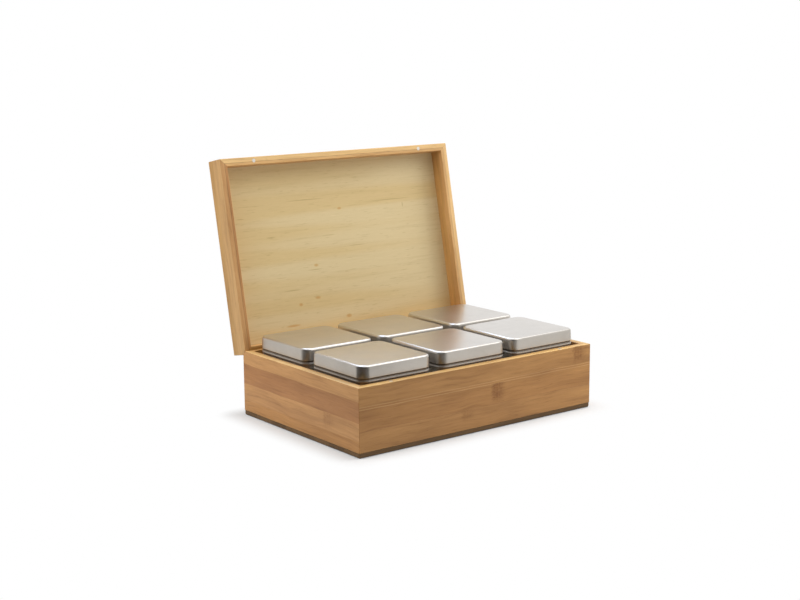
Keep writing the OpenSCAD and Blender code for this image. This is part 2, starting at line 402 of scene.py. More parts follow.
def made_of_plies(tree, colour, half_board, along, inward, at_rim, broad):
    """Adds the inner face, painted lighter as painted bounce light, the two plies with the joint between
    them, the mitre at each end, and a lighter tint along the eased edges, lacquer rubbed thin and a
    painted highlight."""
    # Painted bounce light: the inner face of the board is made lighter
    inner_face = calc(tree, "GREATER_THAN", inward, WALL / MM - FACE_BAND)
    colour = tinted(tree, colour, inner_face, PAINTED_INNER_LIGHT)
    inner_ply = calc(tree, "GREATER_THAN", inward, PLY_DEPTH)
    colour = tinted(tree, colour, calc(tree, "MULTIPLY", inner_ply, at_rim), INNER_PLY)
    ply_line = spread(tree, apart(tree, inward, PLY_DEPTH), *PLY_LINE, 0.0, PLY_LINE_STRENGTH)
    colour = tinted(tree, colour, ply_line, SEAM)
    to_end = calc(tree, "SUBTRACT", half_board, calc(tree, "ABSOLUTE", along))
    mitre_line = spread(tree, apart(tree, to_end, inward), *MITRE_LINE, 0.0, MITRE_LINE_STRENGTH)
    colour = tinted(tree, colour, mitre_line, SEAM)
    # Lighter along the eased edges: lacquer rubbed thin, and a painted highlight
    edge = add_node(tree, "Attribute", {}, attribute_name=EDGE_MARK)["Fac"]
    rubbed_and_lit = calc(tree, "MULTIPLY", edge, spread(tree, broad, *WORN_AND_LIT_WHERE_BROAD))
    return tinted(tree, colour, rubbed_and_lit, WORN_AND_LIT_EDGE)


# %% The bamboo finish
# Lacquer: its shine where the noise of the fibres is low and high, its gloss, and its relief
FIBRE_RANGE = (0.2, 0.8)
WOOD_GLOSS = 0.45
BAMBOO_SHINE = (0.52, 0.40)
BAMBOO_RELIEF = 0.04 * MM

# The strips' joints sway a little and the fibres more, in millimetres
SWAY_STREAKS = {"sway": (60.0, 40.0, 1.0, 5)}
JOINT_SWAY = 1.6
FIBRE_SWAY = 8.0


def bamboo(name, side, strips, knuckles=(), in_lid=False, shift=0.0, rim=PAINTED_RIM_LIGHT, painted_falloff=(1.0, 1.0)):
    """The finish of one wall or rail, with its own strips and knuckles. Its tone goes from one gain to
    another along the board, a painted falloff of light, and its rim gets a tint of painted light."""
    finish, tree, shader = new_finish(name, {"Specular IOR Level": WOOD_GLOSS})
    board = board_coordinates(tree, side, in_lid)
    along, up, inward = add_node(tree, "SeparateXYZ", {0: board})
    half_board = (HALF_LENGTH if side in ("front", "back") else HALF_DEPTH) / MM

    # Strips with slightly wavy joints, in the board's own tone
    sway = calc(tree, "SUBTRACT", grain_of(tree, board, SWAY_STREAKS, shift)["sway"], NOISE_MIDDLE)
    wavy_up = calc(tree, "ADD", up, calc(tree, "MULTIPLY", sway, JOINT_SWAY))
    colour = strip_ramp(tree, wavy_up, strips)
    if in_lid:
        colour = tinted(tree, colour, 1.0, LIGHT_STOCK)
    # Painted falloff of light: the board grows lighter towards one end
    gain = spread(tree, along, -half_board, half_board, *painted_falloff)
    colour = add_node(tree, "VectorMath", {0: colour, "Scale": gain}, operation="SCALE")[0]

    # The rim, painted lighter: painted top light and a painted highlight on the face that looks up
    rim_height = (LID_RIM if in_lid else RIM) / MM
    at_rim = calc(tree, "LESS_THAN", apart(tree, up, rim_height), RIM_BAND)
    colour = tinted(tree, colour, at_rim, rim)

    # Streaks and fibres, which sway more than the joints do
    lifted = add_node(tree, "CombineXYZ", {"Y": calc(tree, "MULTIPLY", sway, FIBRE_SWAY)})[0]
    swaying = add_node(tree, "VectorMath", {0: board, 1: lifted}, operation="ADD")[0]
    grain = grain_of(tree, swaying, BAMBOO_STREAKS, shift)
    colour = marked(tree, colour, grain, BAMBOO_MARKS)

    # Knuckles
    if knuckles:
        bands, ticks = zip(*[knuckle_masks(tree, board, along, up, *place) for place in knuckles])
        colour = tinted(tree, colour, combined(tree, "MAXIMUM", bands), KNUCKLE)
        colour = tinted(tree, colour, combined(tree, "MAXIMUM", ticks), TICK)

    colour = made_of_plies(tree, colour, half_board, along, inward, at_rim, grain["broad"])
    feed(tree, shader.inputs["Base Color"], colour)
    feed(tree, shader.inputs["Roughness"], spread(tree, grain["fibres"], *FIBRE_RANGE, *BAMBOO_SHINE))
    relief(tree, shader, calc(tree, "ADD", grain["fibres"], grain["broad"]), BAMBOO_RELIEF)
    return finish


# %% [markdown]
# ## Pale veneer
#
# The lid panel, the floor and the dividers are pale veneer board. Its grain is quieter than that of the
# walls: sheets of slightly different tone, soft streaks, fine dashes, and a few small knots and longer
# dashes on the lid panel, which are placed one by one because they show. The outer face of the lid
# panel was stained with the rails, in warm strips.

# %% Tones of the veneer
VENEER = (0.680, 0.540, 0.295)
VENEER_WARM = (0.95, 0.89, 0.77)
VENEER_DASH = (0.70, 0.64, 0.52)
VENEER_GLEAM = (1.08, 1.09, 1.12)
VENEER_KNOT = (0.84, 0.60, 0.34)
VENEER_STREAKS = {
    "sheets": (400.0, 26.0, 0.0, 3),
    "broad": (60.0, 3.0, 4.0, 0),
    "fibres": (20.0, 0.6, 2.0, 7),
    "bundles": (13.0, 1.3, 1.5, 19),
}
VENEER_MARKS = [
    ("sheets", 0.42, 0.62, 1.00, VENEER_WARM),
    ("broad", 0.52, 0.28, 0.22, VENEER_DASH),
    ("fibres", 0.55, 0.30, 0.10, VENEER_DASH),
    ("bundles", 0.61, 0.75, 0.42, VENEER_DASH),
    ("bundles", 0.38, 0.24, 0.60, VENEER_GLEAM),
]
VENEER_SHINE = (0.55, 0.42)
VENEER_RELIEF = 0.03 * MM

# How strong the knots and the dashes are that have a place of their own, and their tints
KNOTS = (0.8, VENEER_KNOT)
DASHES = (0.7, VENEER_DASH)

# The strips of the lid's outer face: where each starts, across the panel, and its tone
OUTER_STRIPS = [
    (0, (0.93, 0.77, 0.66)),
    (34, (0.89, 0.72, 0.60)),
    (58, (0.97, 0.82, 0.72)),
    (83, (0.92, 0.75, 0.63)),
    (106, (0.87, 0.70, 0.58)),
    (131, (0.96, 0.80, 0.70)),
    (156, (0.91, 0.74, 0.62)),
]


# %% Ovals, for knots and dashes
def oval(tree, along, up, place, size):
    """A soft oval of that size about a place, in millimetres. It is 1 in the middle and 0 outside."""
    squares = []
    for value, middle, width in zip((along, up), place, size):
        share = calc(tree, "DIVIDE", calc(tree, "SUBTRACT", value, middle), width / 2)
        squares.append(calc(tree, "MULTIPLY", share, share))
    return spread(tree, calc(tree, "ADD", *squares), 1.0, 0.0)


def strips_across(tree, across, strips):
    """The tone of each strip of a flat board, counted from its front edge."""
    from_edge = calc(tree, "ADD", across, HALF_DEPTH / MM)
    return strip_ramp(tree, from_edge, strips, 2 * HALF_DEPTH / MM)


# %% The veneer finish
def veneer(name, in_lid=False, turned=False, knots=(), dashes=(), shift=0.0):
    """The finish of a veneered board. The grain runs along X, or along Y when it is turned."""
    finish, tree, shader = new_finish(name, {"Specular IOR Level": WOOD_GLOSS})
    quarter_turn = math.radians(90)
    board = in_millimetres(tree, object_place(tree, in_lid), quarter_turn if turned else 0.0)
    along, up, height = add_node(tree, "SeparateXYZ", {0: board})
    grain = grain_of(tree, board, VENEER_STREAKS, shift)
    colour = marked(tree, VENEER, grain, VENEER_MARKS)
    for places, strength, tint in ((knots, *KNOTS), (dashes, *DASHES)):
        if places:
            ovals = combined(tree, "MAXIMUM", [oval(tree, along, up, *place) for place in places])
            colour = tinted(tree, colour, calc(tree, "MULTIPLY", ovals, strength), tint)
    if in_lid:
        outer_face = calc(tree, "GREATER_THAN", height, PANEL_TOP / MM - FACE_BAND)
        colour = tinted(tree, colour, outer_face, strips_across(tree, up, OUTER_STRIPS))

    feed(tree, shader.inputs["Base Color"], colour)
    feed(tree, shader.inputs["Roughness"], spread(tree, grain["fibres"], *FIBRE_RANGE, *VENEER_SHINE))
    relief(tree, shader, calc(tree, "ADD", grain["fibres"], grain["broad"]), VENEER_RELIEF)
    return finish


# %% [markdown]
# ## Easing the edges of a board
#
# No wooden edge is knife sharp. A maker takes the arris off with a few strokes, and that thin round edge
# is what catches the light. The CAD boards are exact but sharp there, so each one is copied, its edges
# are bevelled, and the copy stands for the CAD board. The copy keeps every groove, rabbet and bore. The
# mitred end faces stay as they are, because they meet the next board. The bevelled faces are marked, so
# that the finish can be a little lighter there.

# %% Edges to be eased
# An edge is eased if it turns by more than EDGE_TURN. Faces that turn by less than FLAT_TURN are one
# flat face, and points nearer than NEAR are one point.
EDGE_TURN = math.radians(35)
FLAT_TURN = math.radians(0.5)
NEAR = 0.001 * MM
MITRE_SLACK = 0.02
EASE_SEGMENTS = 3
NOSE_SEGMENTS = 6


def is_mitre(face, in_lid):
    """True for the end face of a mitred board, which is turned by 45 degrees in plan."""
    normal = close_lid.to_3x3() @ face.normal if in_lid else face.normal
    return abs(abs(normal.x) - abs(normal.y)) < MITRE_SLACK and abs(normal.z) < MITRE_SLACK


def eased_edges(mesh, wanted, in_lid):
    """The outward edges of a mesh that turn sharply, lie where wanted, and aren't part of a mitre."""
    chosen = []
    for edge in mesh.edges:
        if len(edge.link_faces) != 2 or edge.calc_face_angle_signed() < EDGE_TURN:
            continue
        if any(is_mitre(face, in_lid) for face in edge.link_faces):
            continue
        ends = [close_lid @ end.co if in_lid else end.co for end in edge.verts]
        if all(wanted(end) for end in ends):
            chosen.append(edge)
    return chosen


def level_edges(mesh, height):
    """The edges that lie at one height."""
    return [edge for edge in mesh.edges if all(abs(end.co.z - height) < NEAR for end in edge.verts)]


def rounded_off(mesh, edges, width, segments):
    """Rounds these edges and returns the new faces."""
    made = bmesh.ops.bevel(
        mesh, geom=edges, offset=width, segments=segments, profile=0.5, affect="EDGES", material=-1,
        offset_type="OFFSET", clamp_overlap=False,
    )
    return made["faces"]


# %% A finished piece
def object_of(name, mesh):
    """Makes an object of a bmesh and puts it into the scene."""
    data = bpy.data.meshes.new(name)
    mesh.to_mesh(data)
    mesh.free()
    made = bpy.data.objects.new(name, data)
    bpy.context.scene.collection.objects.link(made)
    return made


def finished_piece(name, mesh, finish, body):
    """Makes an object of a bmesh, shades it, gives it a finish and lets it ride on a body."""
    piece = object_of(name, mesh)
    piece.data.shade_smooth()
    piece.data.set_sharp_from_angle(angle=EDGE_TURN)
    piece.data.materials.clear()
    piece.data.materials.append(finish)
    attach(piece, body)
    flatten = piece.modifiers.new("flat_faces_stay_flat", "WEIGHTED_NORMAL")
    flatten.keep_sharp = True
    return piece


# %% A board with eased edges
def eased_copy(node, finish, width, wanted=lambda end: True, in_lid=False, body="case", nose=0.0):
    """Copies a CAD board, rounds the wanted edges, gives it a finish and lets it stand for the node. A
    board may have a larger rounding, a nose, all round its underside."""
    source = frame["nodes"][node]
    mesh = bmesh.new()
    mesh.from_mesh(source.data)
    bmesh.ops.remove_doubles(mesh, verts=mesh.verts, dist=NEAR)
    bmesh.ops.dissolve_limit(mesh, angle_limit=FLAT_TURN, verts=mesh.verts, edges=mesh.edges)
    mark = mesh.faces.layers.float.new(EDGE_MARK)
    if nose:
        rounded_off(mesh, level_edges(mesh, 0.0), nose, NOSE_SEGMENTS)
    edges = eased_edges(mesh, wanted, in_lid)
    for face in rounded_off(mesh, edges, width, EASE_SEGMENTS):
        face[mark] = 1.0
    piece = finished_piece(node + "_piece", mesh, finish, body)
    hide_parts(node)
    print(piece.name, "eased", len(edges), "edges,", len(piece.data.polygons), "faces")
    return piece


# %% [markdown]
# ## The case walls
#
# The walls are eased along the rim and along the outside. The inner edge is eased only above the
# dividers' grooves, which keep a crisp mouth. The heights of the strips and the places of the knuckles
# follow the photograph on the front and the left, and are in keeping with it on the other two walls.

# %% Where the walls are eased
EASE = 0.5 * MM

# How deep the outer and the inner skin are in which edges are eased. The inner one is eased from a
# margin above the grooves to a margin past the lid's rim.
OUTER_SKIN = 0.9 * MM
INNER_SKIN = 0.01 * MM
GROOVE_MARGIN = 2 * MM
LID_MARGIN = 6 * MM


def outer_or_rim(end):
    """True on the outer skin of the box, and on the inner skin above the grooves and at the lid rim."""
    to_side = HALF_LENGTH - abs(end.x)
    to_front = HALF_DEPTH - abs(end.y)
    inward = min(to_side, to_front)
    near_rim = GROOVE_TOP + GROOVE_MARGIN < end.z < LID_RIM + LID_MARGIN
    return inward < OUTER_SKIN or (inward > WALL - INNER_SKIN and near_rim)


# %% Case walls
# A strip is the height at which it starts and its tone. A knuckle is its place along the board, the
# heights between which its strip lies, and its strength.
# The two gains along each wall are a painted falloff of light, lighter towards the end that gets more
# light
case_walls = {
    "front": {
        "strips": [(0, GOLDEN), (24.3, GLUE), (24.8, AMBER), (45.2, PALE), (46.0, AMBER), (47.4, PALE),
                   (48.3, GOLDEN)],
        "knuckles": [(20, 24.6, 46, 1.0), (-18, 11, 24.6, 0.5), (130, 48, 67, 0.9)],
        "shift": 0.0,
        "painted_falloff": (0.90, 1.06),
    },
    "left": {
        "strips": [(0, AMBER), (16, HONEY), (33.5, RUSSET), (53.4, GLUE), (53.8, HONEY)],
        "knuckles": [(49, 16, 33.5, 0.5)],
        "shift": 40.0,
        "painted_falloff": (1.12, 0.92),
    },
    "right": {
        "strips": [(0, AMBER), (19, GLUE), (19.4, HONEY), (41, AMBER), (58.5, GOLDEN)],
        "knuckles": [(-52, 19.4, 41, 0.9), (66, 41, 58.5, 0.6)],
        "shift": 80.0,
        "painted_falloff": (0.96, 1.06),
    },
    "back": {
        "strips": [(0, GOLDEN), (22, AMBER), (43, GLUE), (43.4, HONEY), (60, AMBER)],
        "knuckles": [(-88, 22, 43, 0.8), (34, 43.4, 60, 1.0), (105, 5, 22, 0.5)],
        "shift": 120.0,
        "painted_falloff": (1.05, 0.96),
    },
}
for side, look in case_walls.items():
    finish = bamboo(f"bamboo_case_{side}", side, **look)
    eased_copy(f"case_{side}_wall", finish, EASE, outer_or_rim)

# %% [markdown]
# ## The lid rails
#
# The rails are cut from narrower stock, so each shows one or two strips. They are treated as the walls
# are, only with the lid closed in thought.

# %% Lid rails
# Each rail's rim tint is painted light: lighter on the front and right rails, a little darker on the
# left one
lid_rails = {
    "front": {
        "strips": [(0, GOLDEN), (76, HONEY)],
        "shift": 160.0,
        "rim": (1.50, 1.74, 2.25),
    },
    "left": {
        "strips": [(0, HONEY), (82, GOLDEN)],
        "shift": 200.0,
        "rim": (0.95, 0.88, 0.86),
    },
    "right": {
        "strips": [(0, HONEY), (74, GOLDEN)],
        "shift": 240.0,
        "rim": (1.34, 1.48, 1.66),
    },
    "back": {
        "strips": [(0, GOLDEN), (80, AMBER)],
        "knuckles": [(72, 67, 91, 0.8)],
        "shift": 280.0,
        "rim": (1.10, 1.18, 1.22),
    },
}
for side, look in lid_rails.items():
    finish = bamboo(f"bamboo_lid_{side}", side, in_lid=True, **look)
    eased_copy(f"lid_{side}_rail", finish, EASE, outer_or_rim, in_lid=True, body="lid")

# %% [markdown]
# ## Panel, floor and dividers
#
# The lid panel and the floor are held in rabbets, and the dividers stand in grooves. A hair of easing on
# the panel leaves the fine joint line that shows round it on top of the shut lid.

# %% Panel, floor and dividers
PANEL_EASE = 0.3 * MM
DIVIDER_EASE = 0.35 * MM

panel_finish = veneer(
    "veneer_lid_panel",
    in_lid=True,
    # A knot or a dash is its place and its size, along the grain and across it
    knots=[
        ((3, -39.5), (7, 3.4)),
        ((-36, 18.5), (7, 4)),
        ((-39, 53), (9, 4)),
        ((-61.5, 58), (6, 4.5)),
        ((-2, 77), (9, 5)),
        ((-74, 79), (22, 3)),
    ],
    dashes=[
        ((-40, -52), (60, 1.3)),
        ((73, -44), (66, 1.2)),
        ((89, -37), (2.0, 7)),
        ((-122, -38), (12, 1.4)),
        ((-88, -16), (16, 1.4)),
        ((-70, 42), (26, 1.4)),
        ((-38, 23), (24, 1.5)),
        ((20, 2), (30, 1.2)),
        ((-15, -12), (22, 1.1)),
    ],
)
eased_copy("lid_panel", panel_finish, PANEL_EASE, in_lid=True, body="lid")
eased_copy("floor_panel", veneer("veneer_floor", shift=60.0), PANEL_EASE)
divider_finishes = {
    "long_divider": veneer("veneer_long_divider", shift=90.0),
    "cross_divider_left": veneer("veneer_cross_divider_left", turned=True, shift=110.0),
    "cross_divider_right": veneer("veneer_cross_divider_right", turned=True, shift=130.0),
}
for node, finish in divider_finishes.items():
    eased_copy(node, finish, DIVIDER_EASE)

# %% [markdown]
# ## The dark base board
#
# The base is glued up from strips like the walls and stained nearly black-brown. Its top edge is barely
# eased and leaves a narrow line under the walls. Its lower edge is rounded to a nose, which turns away
# from the light, and its lowest part is painted darker, a painted contact shadow against the floor.

# %% Base board
BASE_EASE = 0.4 * MM
BASE_NOSE = 1.9 * MM
BASE_GLOSS = 0.25
BASE_SHINE = (0.60, 0.45)
BASE_RELIEF = 0.05 * MM
STAIN = (0.134, 0.077, 0.032)
STAIN_LIGHT = (1.5, 1.45, 1.35)
PAINTED_CONTACT_SHADOW = (0.52, 0.50, 0.48)
CONTACT_SHADOW_HEIGHTS = (1.7, 0.5)
BASE_STREAKS = {"broad": (60.0, 2.2, 4.0, 15), "fibres": (18.0, 0.5, 2.0, 31)}
BASE_MARKS = [("broad", 0.48, 0.75, 1.0, STAIN_LIGHT), ("fibres", 0.55, 0.30, 0.5, DARK_FIBRE)]
BASE_STRIPS = [
    (0, (1.00, 1.00, 1.00)),
    (24, (0.80, 0.78, 0.76)),
    (49, (1.12, 1.12, 1.10)),
    (73, (0.90, 0.88, 0.86)),
    (98, (1.06, 1.04, 1.00)),
    (122, (0.78, 0.76, 0.74)),
    (147, (1.10, 1.08, 1.04)),
    (171, (0.92, 0.92, 0.90)),
]

stain, tree, shader = new_finish("stained_base", {"Specular IOR Level": BASE_GLOSS})
board = in_millimetres(tree, object_place(tree))
along, across, height = add_node(tree, "SeparateXYZ", {0: board})
grain = grain_of(tree, board, BASE_STREAKS)
colour = marked(tree, STAIN, grain, BASE_MARKS)
# Painted contact shadow: the lowest part of the nose is darkened
colour = tinted(tree, colour, spread(tree, height, *CONTACT_SHADOW_HEIGHTS), PAINTED_CONTACT_SHADOW)
colour = tinted(tree, colour, 1.0, strips_across(tree, across, BASE_STRIPS))
feed(tree, shader.inputs["Base Color"], colour)
feed(tree, shader.inputs["Roughness"], spread(tree, grain["fibres"], *FIBRE_RANGE, *BASE_SHINE))
relief(tree, shader, calc(tree, "ADD", grain["fibres"], grain["broad"]), BASE_RELIEF)
eased_copy("base_plate", stain, BASE_EASE, nose=BASE_NOSE)

# %% [markdown]
# ## Metal finishes
#
# Tinplate is steel with a thin coat of tin, rolled to a satin grain. It mirrors its surroundings softly,
# so it needs little colour of its own: a faint grain, a few cloudy patches where the shine differs, and
# a fine relief. The same recipe with other values makes the brass of the hinges, the steel of the pins
# and the nickel of the magnets. Two more marks are for the tins: a lid is duller on its skirt, where
# drawing stretched the sheet, and a body is painted dark in the narrow gap below the lid, a painted
# shade.

# %% Metals
CLOUD_STREAKS = (26.0, 18.0, 3.0, 9)
GRAIN_DETAIL = 3.0
CLOUDED = (0.96, 0.96, 0.955)
METAL_MARKS = [("grain", 0.35, 0.65, 1.0, CLOUDED), ("clouds", 0.40, 0.65, 1.0, CLOUDED)]
CLOUD_SHARE = 0.6
SHINE_RANGE = (0.30, 0.70)
NECK_SHADE = (0.16, 0.14, 0.13)
NECK_OVERLAP = 0.4
DRAWN_DULLNESS = 0.06
DRAWN_BLEND = 1.5


def metal(name, colour, shine, grain_length, grain_width, depth, neck=None, drawn=None):
    """A metal whose grain runs along X. Its roughness wanders between two values. It may have a neck, a
    ring between two heights painted darker upwards as a painted shade, and be duller below the height
    from which it was drawn. Heights are in millimetres."""
    finish, tree, shader = new_finish(name, {"Metallic": 1.0})
    local = in_millimetres(tree, object_place(tree))
    kinds = {"grain": (grain_length, grain_width, GRAIN_DETAIL, 0), "clouds": CLOUD_STREAKS}
    grain = grain_of(tree, local, kinds)
    tone = marked(tree, colour, grain, METAL_MARKS)
    height = add_node(tree, "SeparateXYZ", {0: local})["Z"]
    # Painted shade: the neck ring darkens towards the lid
    if neck:
        below_lid = calc(tree, "LESS_THAN", height, neck[1] + NECK_OVERLAP)
        ring = calc(tree, "MULTIPLY", spread(tree, height, *neck), below_lid)
        tone = tinted(tree, tone, ring, NECK_SHADE)
    cloudy = calc(tree, "MULTIPLY", grain["clouds"], CLOUD_SHARE)
    grainy = calc(tree, "MULTIPLY", grain["grain"], 1 - CLOUD_SHARE)
    dullness = spread(tree, calc(tree, "ADD", cloudy, grainy), *SHINE_RANGE, *shine)
    if drawn:
        stretched = spread(tree, height, drawn, drawn - DRAWN_BLEND, 0.0, DRAWN_DULLNESS)
        dullness = calc(tree, "ADD", dullness, stretched)
    feed(tree, shader.inputs["Base Color"], tone)
    feed(tree, shader.inputs["Roughness"], dullness)
    relief(tree, shader, grain["grain"], depth)
    return finish


# Each metal has a colour, two values between which its roughness wanders, and a grain with a length and
# a width in millimetres and a depth
brass = metal("turned_brass", (0.780, 0.570, 0.270), (0.22, 0.34), 3.0, 0.25, 0.004 * MM)
steel = metal("ground_steel", (0.560, 0.560, 0.570), (0.22, 0.32), 2.0, 0.20, 0.003 * MM)
nickel = metal("nickel_plate", (0.740, 0.715, 0.680), (0.44, 0.54), 2.0, 0.30, 0.002 * MM)

# %% Hinges and magnets
MAGNET_EASE = 0.25 * MM

for side in ("left", "right"):
    for part_name, metal_finish in (("case_barrel", brass), ("lid_barrel", brass), ("pin", steel)):
        for material_slot in frame["nodes"][f"hinge_{part_name}_{side}"].material_slots:
            material_slot.material = metal_finish
    eased_copy(f"case_magnet_{side}", nickel, MAGNET_EASE)
    eased_copy(f"lid_magnet_{side}", nickel, MAGNET_EASE, body="lid")
print("hinges and magnets in", ", ".join(metal_finish.name for metal_finish in (brass, steel, nickel)))

# %% [markdown]
# ## The tins
#
# A tin is drawn and folded from one thickness of sheet. So each half is modelled as a skin, and a
# Solidify modifier gives it the sheet's thickness inwards. The lid starts as a block. Its upright edges
# are rounded in plan, its walls lean in a little, its top edge is rounded and its lower edge turned
# under as a small hem. Then the underside is taken off, and the top is raised by a fraction of a
# millimetre, because a pressed lid is never quite flat. The body is made the same way, with a bead
# pressed out below the lid's skirt, a turned-in mouth and a base that is pushed in a little.

# %% Sizes of a tin, from the frame
lid_low, lid_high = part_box("tin_lid_front_left")
tin_low, tin_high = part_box("tin_front_left")
TIN_LID_HALF = (lid_high.x - lid_low.x) / 2
TIN_SKIRT = lid_high.z - lid_low.z
BEAD_HALF = (tin_high.x - tin_low.x) / 2

# The sheet's thickness, and the slip, which is the room between a lid and its body
SHEET = 0.6 * MM
SLIP = 0.3 * MM

# The lid's round corner and upper edge, how far its walls lean, and the hem at its foot
LID_CORNER = 10.0 * MM
LID_EDGE = 2.5 * MM
LID_DRAFT = math.radians(2.0)
HEM = 0.45 * MM

# The body's turned edges, the lip round its mouth, and the steps of its pushed-in base
TURN = 2.0 * MM
LIP = 1.0 * MM
FOOT_RIM = 2.0 * MM
FOOT_SLOPE = 1.0 * MM
FOOT_RISE = 0.5 * MM

# Half the height of the bead, and how far its middle is below the lid's foot
BEAD = 1.45 * MM
BEAD_DROP = 3.25 * MM
TIN_BODY_HALF = TIN_LID_HALF - SHEET - SLIP
BODY_CORNER = LID_CORNER - SHEET - SLIP
BEAD_HEIGHT = tin_high.z - tin_low.z + SHEET - TIN_SKIRT - BEAD_DROP

# %% Tinplate
# The lids are shinier than the bodies. The grain has a length and a width in millimetres and a depth.
# Drawing starts a little below a lid's top.
TINPLATE = (0.680, 0.645, 0.605)
TIN_GRAIN = (2.4, 0.35, 0.002 * MM)
LID_SHINE = (0.28, 0.34)
BODY_SHINE = (0.48, 0.56)
DRAWN_FROM = 0.5 * MM

drawn = (lid_high.z - DRAWN_FROM) / MM
neck = ((tin_low.z + BEAD_HEIGHT) / MM, lid_low.z / MM)
lid_tinplate = metal("satin_tinplate", TINPLATE, LID_SHINE, *TIN_GRAIN, drawn=drawn)
body_tinplate = metal("satin_tinplate_body", TINPLATE, BODY_SHINE, *TIN_GRAIN, neck=neck)
print("tin lid", round(2 * TIN_LID_HALF / MM, 1), "mm wide, skirt", round(TIN_SKIRT / MM, 1), "mm")


# %% A block with round upright edges
def round_block(half, height, corner, segments):
    """A square block on the origin, its four upright edges rounded."""
    mesh = bmesh.new()
    bmesh.ops.create_cube(mesh, size=1.0)
    bmesh.ops.scale(mesh, vec=(2 * half, 2 * half, height), verts=mesh.verts)
    bmesh.ops.translate(mesh, vec=(0, 0, height / 2), verts=mesh.verts)
    upright = [edge for edge in mesh.edges if abs(edge.verts[0].co.z - edge.verts[1].co.z) > height / 2]
    rounded_off(mesh, upright, corner, segments)
    return mesh


def level_face(mesh, height):
    """The largest face at one height, which is the flat top or bottom."""
    level = [face for face in mesh.faces if all(abs(end.co.z - height) < NEAR for end in face.verts)]
    return max(level, key=lambda face: face.calc_area())


def round_rim(mesh, height, radius, segments):
    """Rounds the edge all round at one height."""
    rounded_off(mesh, level_edges(mesh, height), radius, segments)


# %% Sideways on a tin
def outward_from(vertex, straight):
    """The way out at a vertex: square to a flat wall, and away from the axis on a round corner."""
    core = Vector([max(-straight, min(straight, value)) for value in vertex.co.xy])
    return (vertex.co.xy - core).normalized()


# %% The tin lid
def draw_in(mesh):
    """Leans the walls of a block in towards its top, as a pressed lid has to lean to leave its die."""
    for vertex in mesh.verts:
        outward = outward_from(vertex, TIN_LID_HALF - LID_CORNER)
        vertex.co.xy -= outward * vertex.co.z * math.tan(LID_DRAFT)


def tin_lid_skin():
    """The outside of a slip lid, with a slightly crowned top."""
    corner_segments = 14
    edge_segments = 7
    hem_segments = 3
    # From the edge inwards: each ring's size as a share of the last, and how far it rises, in
    # millimetres
    crown = [(0.95, 0.07), (0.90, 0.10), (0.80, 0.08), (0.60, 0.05)]
    mesh = round_block(TIN_LID_HALF, TIN_SKIRT, LID_CORNER, corner_segments)
    draw_in(mesh)
    round_rim(mesh, TIN_SKIRT, LID_EDGE, edge_segments)
    round_rim(mesh, 0.0, HEM, hem_segments)
    bmesh.ops.delete(mesh, geom=[level_face(mesh, 0.0)], context="FACES_ONLY")
    top = level_face(mesh, TIN_SKIRT)
    for share, rise in crown:
        bmesh.ops.inset_individual(mesh, faces=[top], thickness=0.0, depth=0.0)
        bmesh.ops.scale(mesh, vec=(share, share, 1.0), verts=top.verts[:])
        bmesh.ops.translate(mesh, vec=(0.0, 0.0, rise * MM), verts=top.verts[:])
    return mesh


# %% The tin body
def tin_body_skin(height):
    """The outside of a tin body: bottom, wall, bead and turned-in mouth."""
    corner_segments = 12
    turn_segments = 5
    mesh = round_block(TIN_BODY_HALF, height, BODY_CORNER, corner_segments)
    round_rim(mesh, 0.0, TURN, turn_segments)
    round_rim(mesh, height, TURN, turn_segments)

    # The mouth: a narrow lip, open inside it
    mouth = level_face(mesh, height)
    bmesh.ops.inset_region(mesh, faces=[mouth], thickness=LIP, use_even_offset=True)
    bmesh.ops.delete(mesh, geom=[mouth], context="FACES_ONLY")

    # The base: pushed in a little inside its rim
    foot = level_face(mesh, 0.0)
    bmesh.ops.inset_region(mesh, faces=[foot], thickness=FOOT_RIM, use_even_offset=True)
    bmesh.ops.inset_region(
        mesh, faces=[foot], thickness=FOOT_SLOPE, depth=-FOOT_RISE, use_even_offset=True
    )

    # The bead: rings cut round the wall, then pushed outwards to a half round
    bead_steps = (-1.0, -0.8, -0.4, 0.0, 0.4, 0.8, 1.0)
    for step in bead_steps:
        everything = mesh.verts[:] + mesh.edges[:] + mesh.faces[:]
        level = (0, 0, BEAD_HEIGHT + step * BEAD)
        bmesh.ops.bisect_plane(mesh, geom=everything, plane_co=level, plane_no=(0, 0, 1))
    for vertex in mesh.verts:
        step = (vertex.co.z - BEAD_HEIGHT) / BEAD
        if abs(step) <= 1.0:
            outward = outward_from(vertex, TIN_BODY_HALF - BODY_CORNER)
            vertex.co.xy += outward * (BEAD_HALF - TIN_BODY_HALF) * math.sqrt(1 - step * step)
    return mesh


# %% Six tins
def place_tin_part(skin, finish, node, foot_centre):
    """Copies a skin to where the CAD node is, with its place in its mesh."""
    mesh = skin.copy()
    bmesh.ops.translate(mesh, vec=foot_centre, verts=mesh.verts)
    piece = finished_piece(node + "_piece", mesh, finish, node)

    # The sheet gets its thickness before its shading is set
    thick = piece.modifiers.new("sheet_thickness", "SOLIDIFY")
    thick.thickness = SHEET
    thick.offset = -1.0
    thick.use_even_offset = True
    piece.modifiers.move(1, 0)
    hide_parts(node)
    return piece


lid_skin = tin_lid_skin()
body_skin = tin_body_skin(tin_high.z - tin_low.z)
for row in ("front", "back"):
    for column in ("left", "middle", "right"):
        where = f"{row}_{column}"
        for skin, finish, node in (
            (body_skin, body_tinplate, f"tin_{where}"), (lid_skin, lid_tinplate, f"tin_lid_{where}")
        ):
            low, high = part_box(node)
            foot_centre = Vector(((low.x + high.x) / 2, (low.y + high.y) / 2, low.z))
            place_tin_part(skin, finish, node, foot_centre)
print("tin lid", len(lid_skin.faces), "faces, before it gets its thickness")
print("tin body", len(body_skin.faces), "faces, before it gets its thickness")
lid_skin.free()
body_skin.free()

